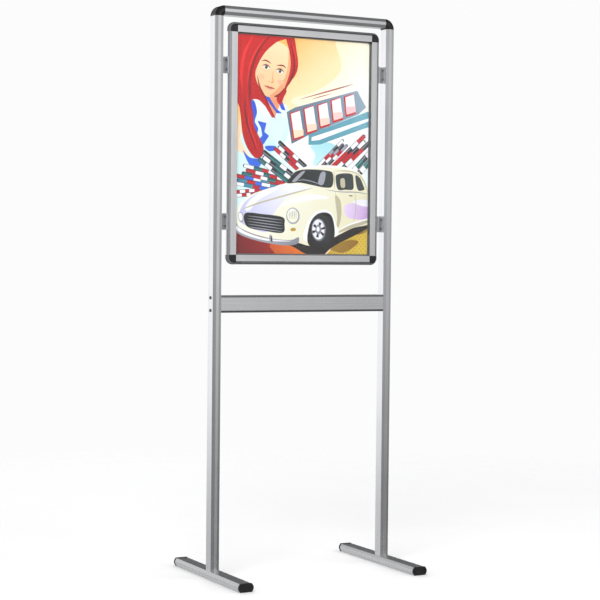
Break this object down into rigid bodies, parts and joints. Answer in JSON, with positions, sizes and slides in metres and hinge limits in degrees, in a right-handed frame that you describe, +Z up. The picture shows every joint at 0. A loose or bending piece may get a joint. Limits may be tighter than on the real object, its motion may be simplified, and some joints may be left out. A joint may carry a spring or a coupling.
{
  "type": "poster stand",
  "caption": "Free-standing aluminium poster stand: faceted posts on low T-feet carry a top bar, a cross bar and a hinged-rail snap frame.",
  "frame": {"origin": "on the floor, at the centre of the stand's footprint", "axes": "+Z up, +X across the stand to the right as seen from the front, the poster faces -Y"},
  "size_m": [0.5526, 0.4, 1.48],
  "materials": {
    "satin_aluminium": "satin silver anodised",
    "frame_aluminium": "satin silver anodised",
    "bracket_aluminium": "satin, bent sheet",
    "corner_black": "dark gloss moulding",
    "elbow_black": "black gloss moulding",
    "cap_black": "black fine-grained moulding",
    "plug_nylon": "black nylon with a threaded bore",
    "screw_steel": "zinc plated",
    "spring_steel": "blued spring strip",
    "panel_plastic": "white foamed board",
    "poster_paper": "coated printed paper",
    "clear_cover": "clear anti-glare film"
  },
  "bodies": {
    "stand": {"left_post": "satin_aluminium", "right_post": "satin_aluminium", "top_bar": "satin_aluminium", "cross_bar": "satin_aluminium", "left_foot": "satin_aluminium", "right_foot": "satin_aluminium", "left_base_profile": "frame_aluminium", "right_base_profile": "frame_aluminium", "top_base_profile": "frame_aluminium", "bottom_base_profile": "frame_aluminium", "top_left_frame_corner": "corner_black", "top_right_frame_corner": "corner_black", "bottom_left_frame_corner": "corner_black", "bottom_right_frame_corner": "corner_black", "left_top_elbow": "elbow_black", "right_top_elbow": "elbow_black", "left_front_foot_cap": "cap_black", "left_rear_foot_cap": "cap_black", "right_front_foot_cap": "cap_black", "right_rear_foot_cap": "cap_black", "left_upper_bracket": "bracket_aluminium", "right_upper_bracket": "bracket_aluminium", "left_lower_bracket": "bracket_aluminium", "right_lower_bracket": "bracket_aluminium", "left_post_plug": "plug_nylon", "right_post_plug": "plug_nylon", "cross_bar_screws": "screw_steel", "bracket_post_screws": "screw_steel", "bracket_frame_screws": "screw_steel", "foot_bolts": "screw_steel", "foot_washers": "screw_steel", "snap_springs": "spring_steel", "back_panel": "panel_plastic", "poster": "poster_paper", "cover_sheet": "clear_cover"},
    "left_rail": {"left_snap_rail": "frame_aluminium"},
    "right_rail": {"right_snap_rail": "frame_aluminium"},
    "top_rail": {"top_snap_rail": "frame_aluminium"},
    "bottom_rail": {"bottom_snap_rail": "frame_aluminium"}
  },
  "joints": [
    {"name": "left_rail_hinge", "type": "hinge", "parent": "stand", "child": "left_rail", "pos_m": [-0.217, -0.00944, 1.128], "axis": [0, 0, -1], "range_deg": [0, 85]},
    {"name": "right_rail_hinge", "type": "hinge", "parent": "stand", "child": "right_rail", "pos_m": [0.217, -0.00944, 1.128], "axis": [0, 0, 1], "range_deg": [0, 85]},
    {"name": "top_rail_hinge", "type": "hinge", "parent": "stand", "child": "top_rail", "pos_m": [0, -0.00944, 1.432], "axis": [-1, 0, 0], "range_deg": [0, 85]},
    {"name": "bottom_rail_hinge", "type": "hinge", "parent": "stand", "child": "bottom_rail", "pos_m": [0, -0.00944, 0.824], "axis": [1, 0, 0], "range_deg": [0, 85]}
  ]
}
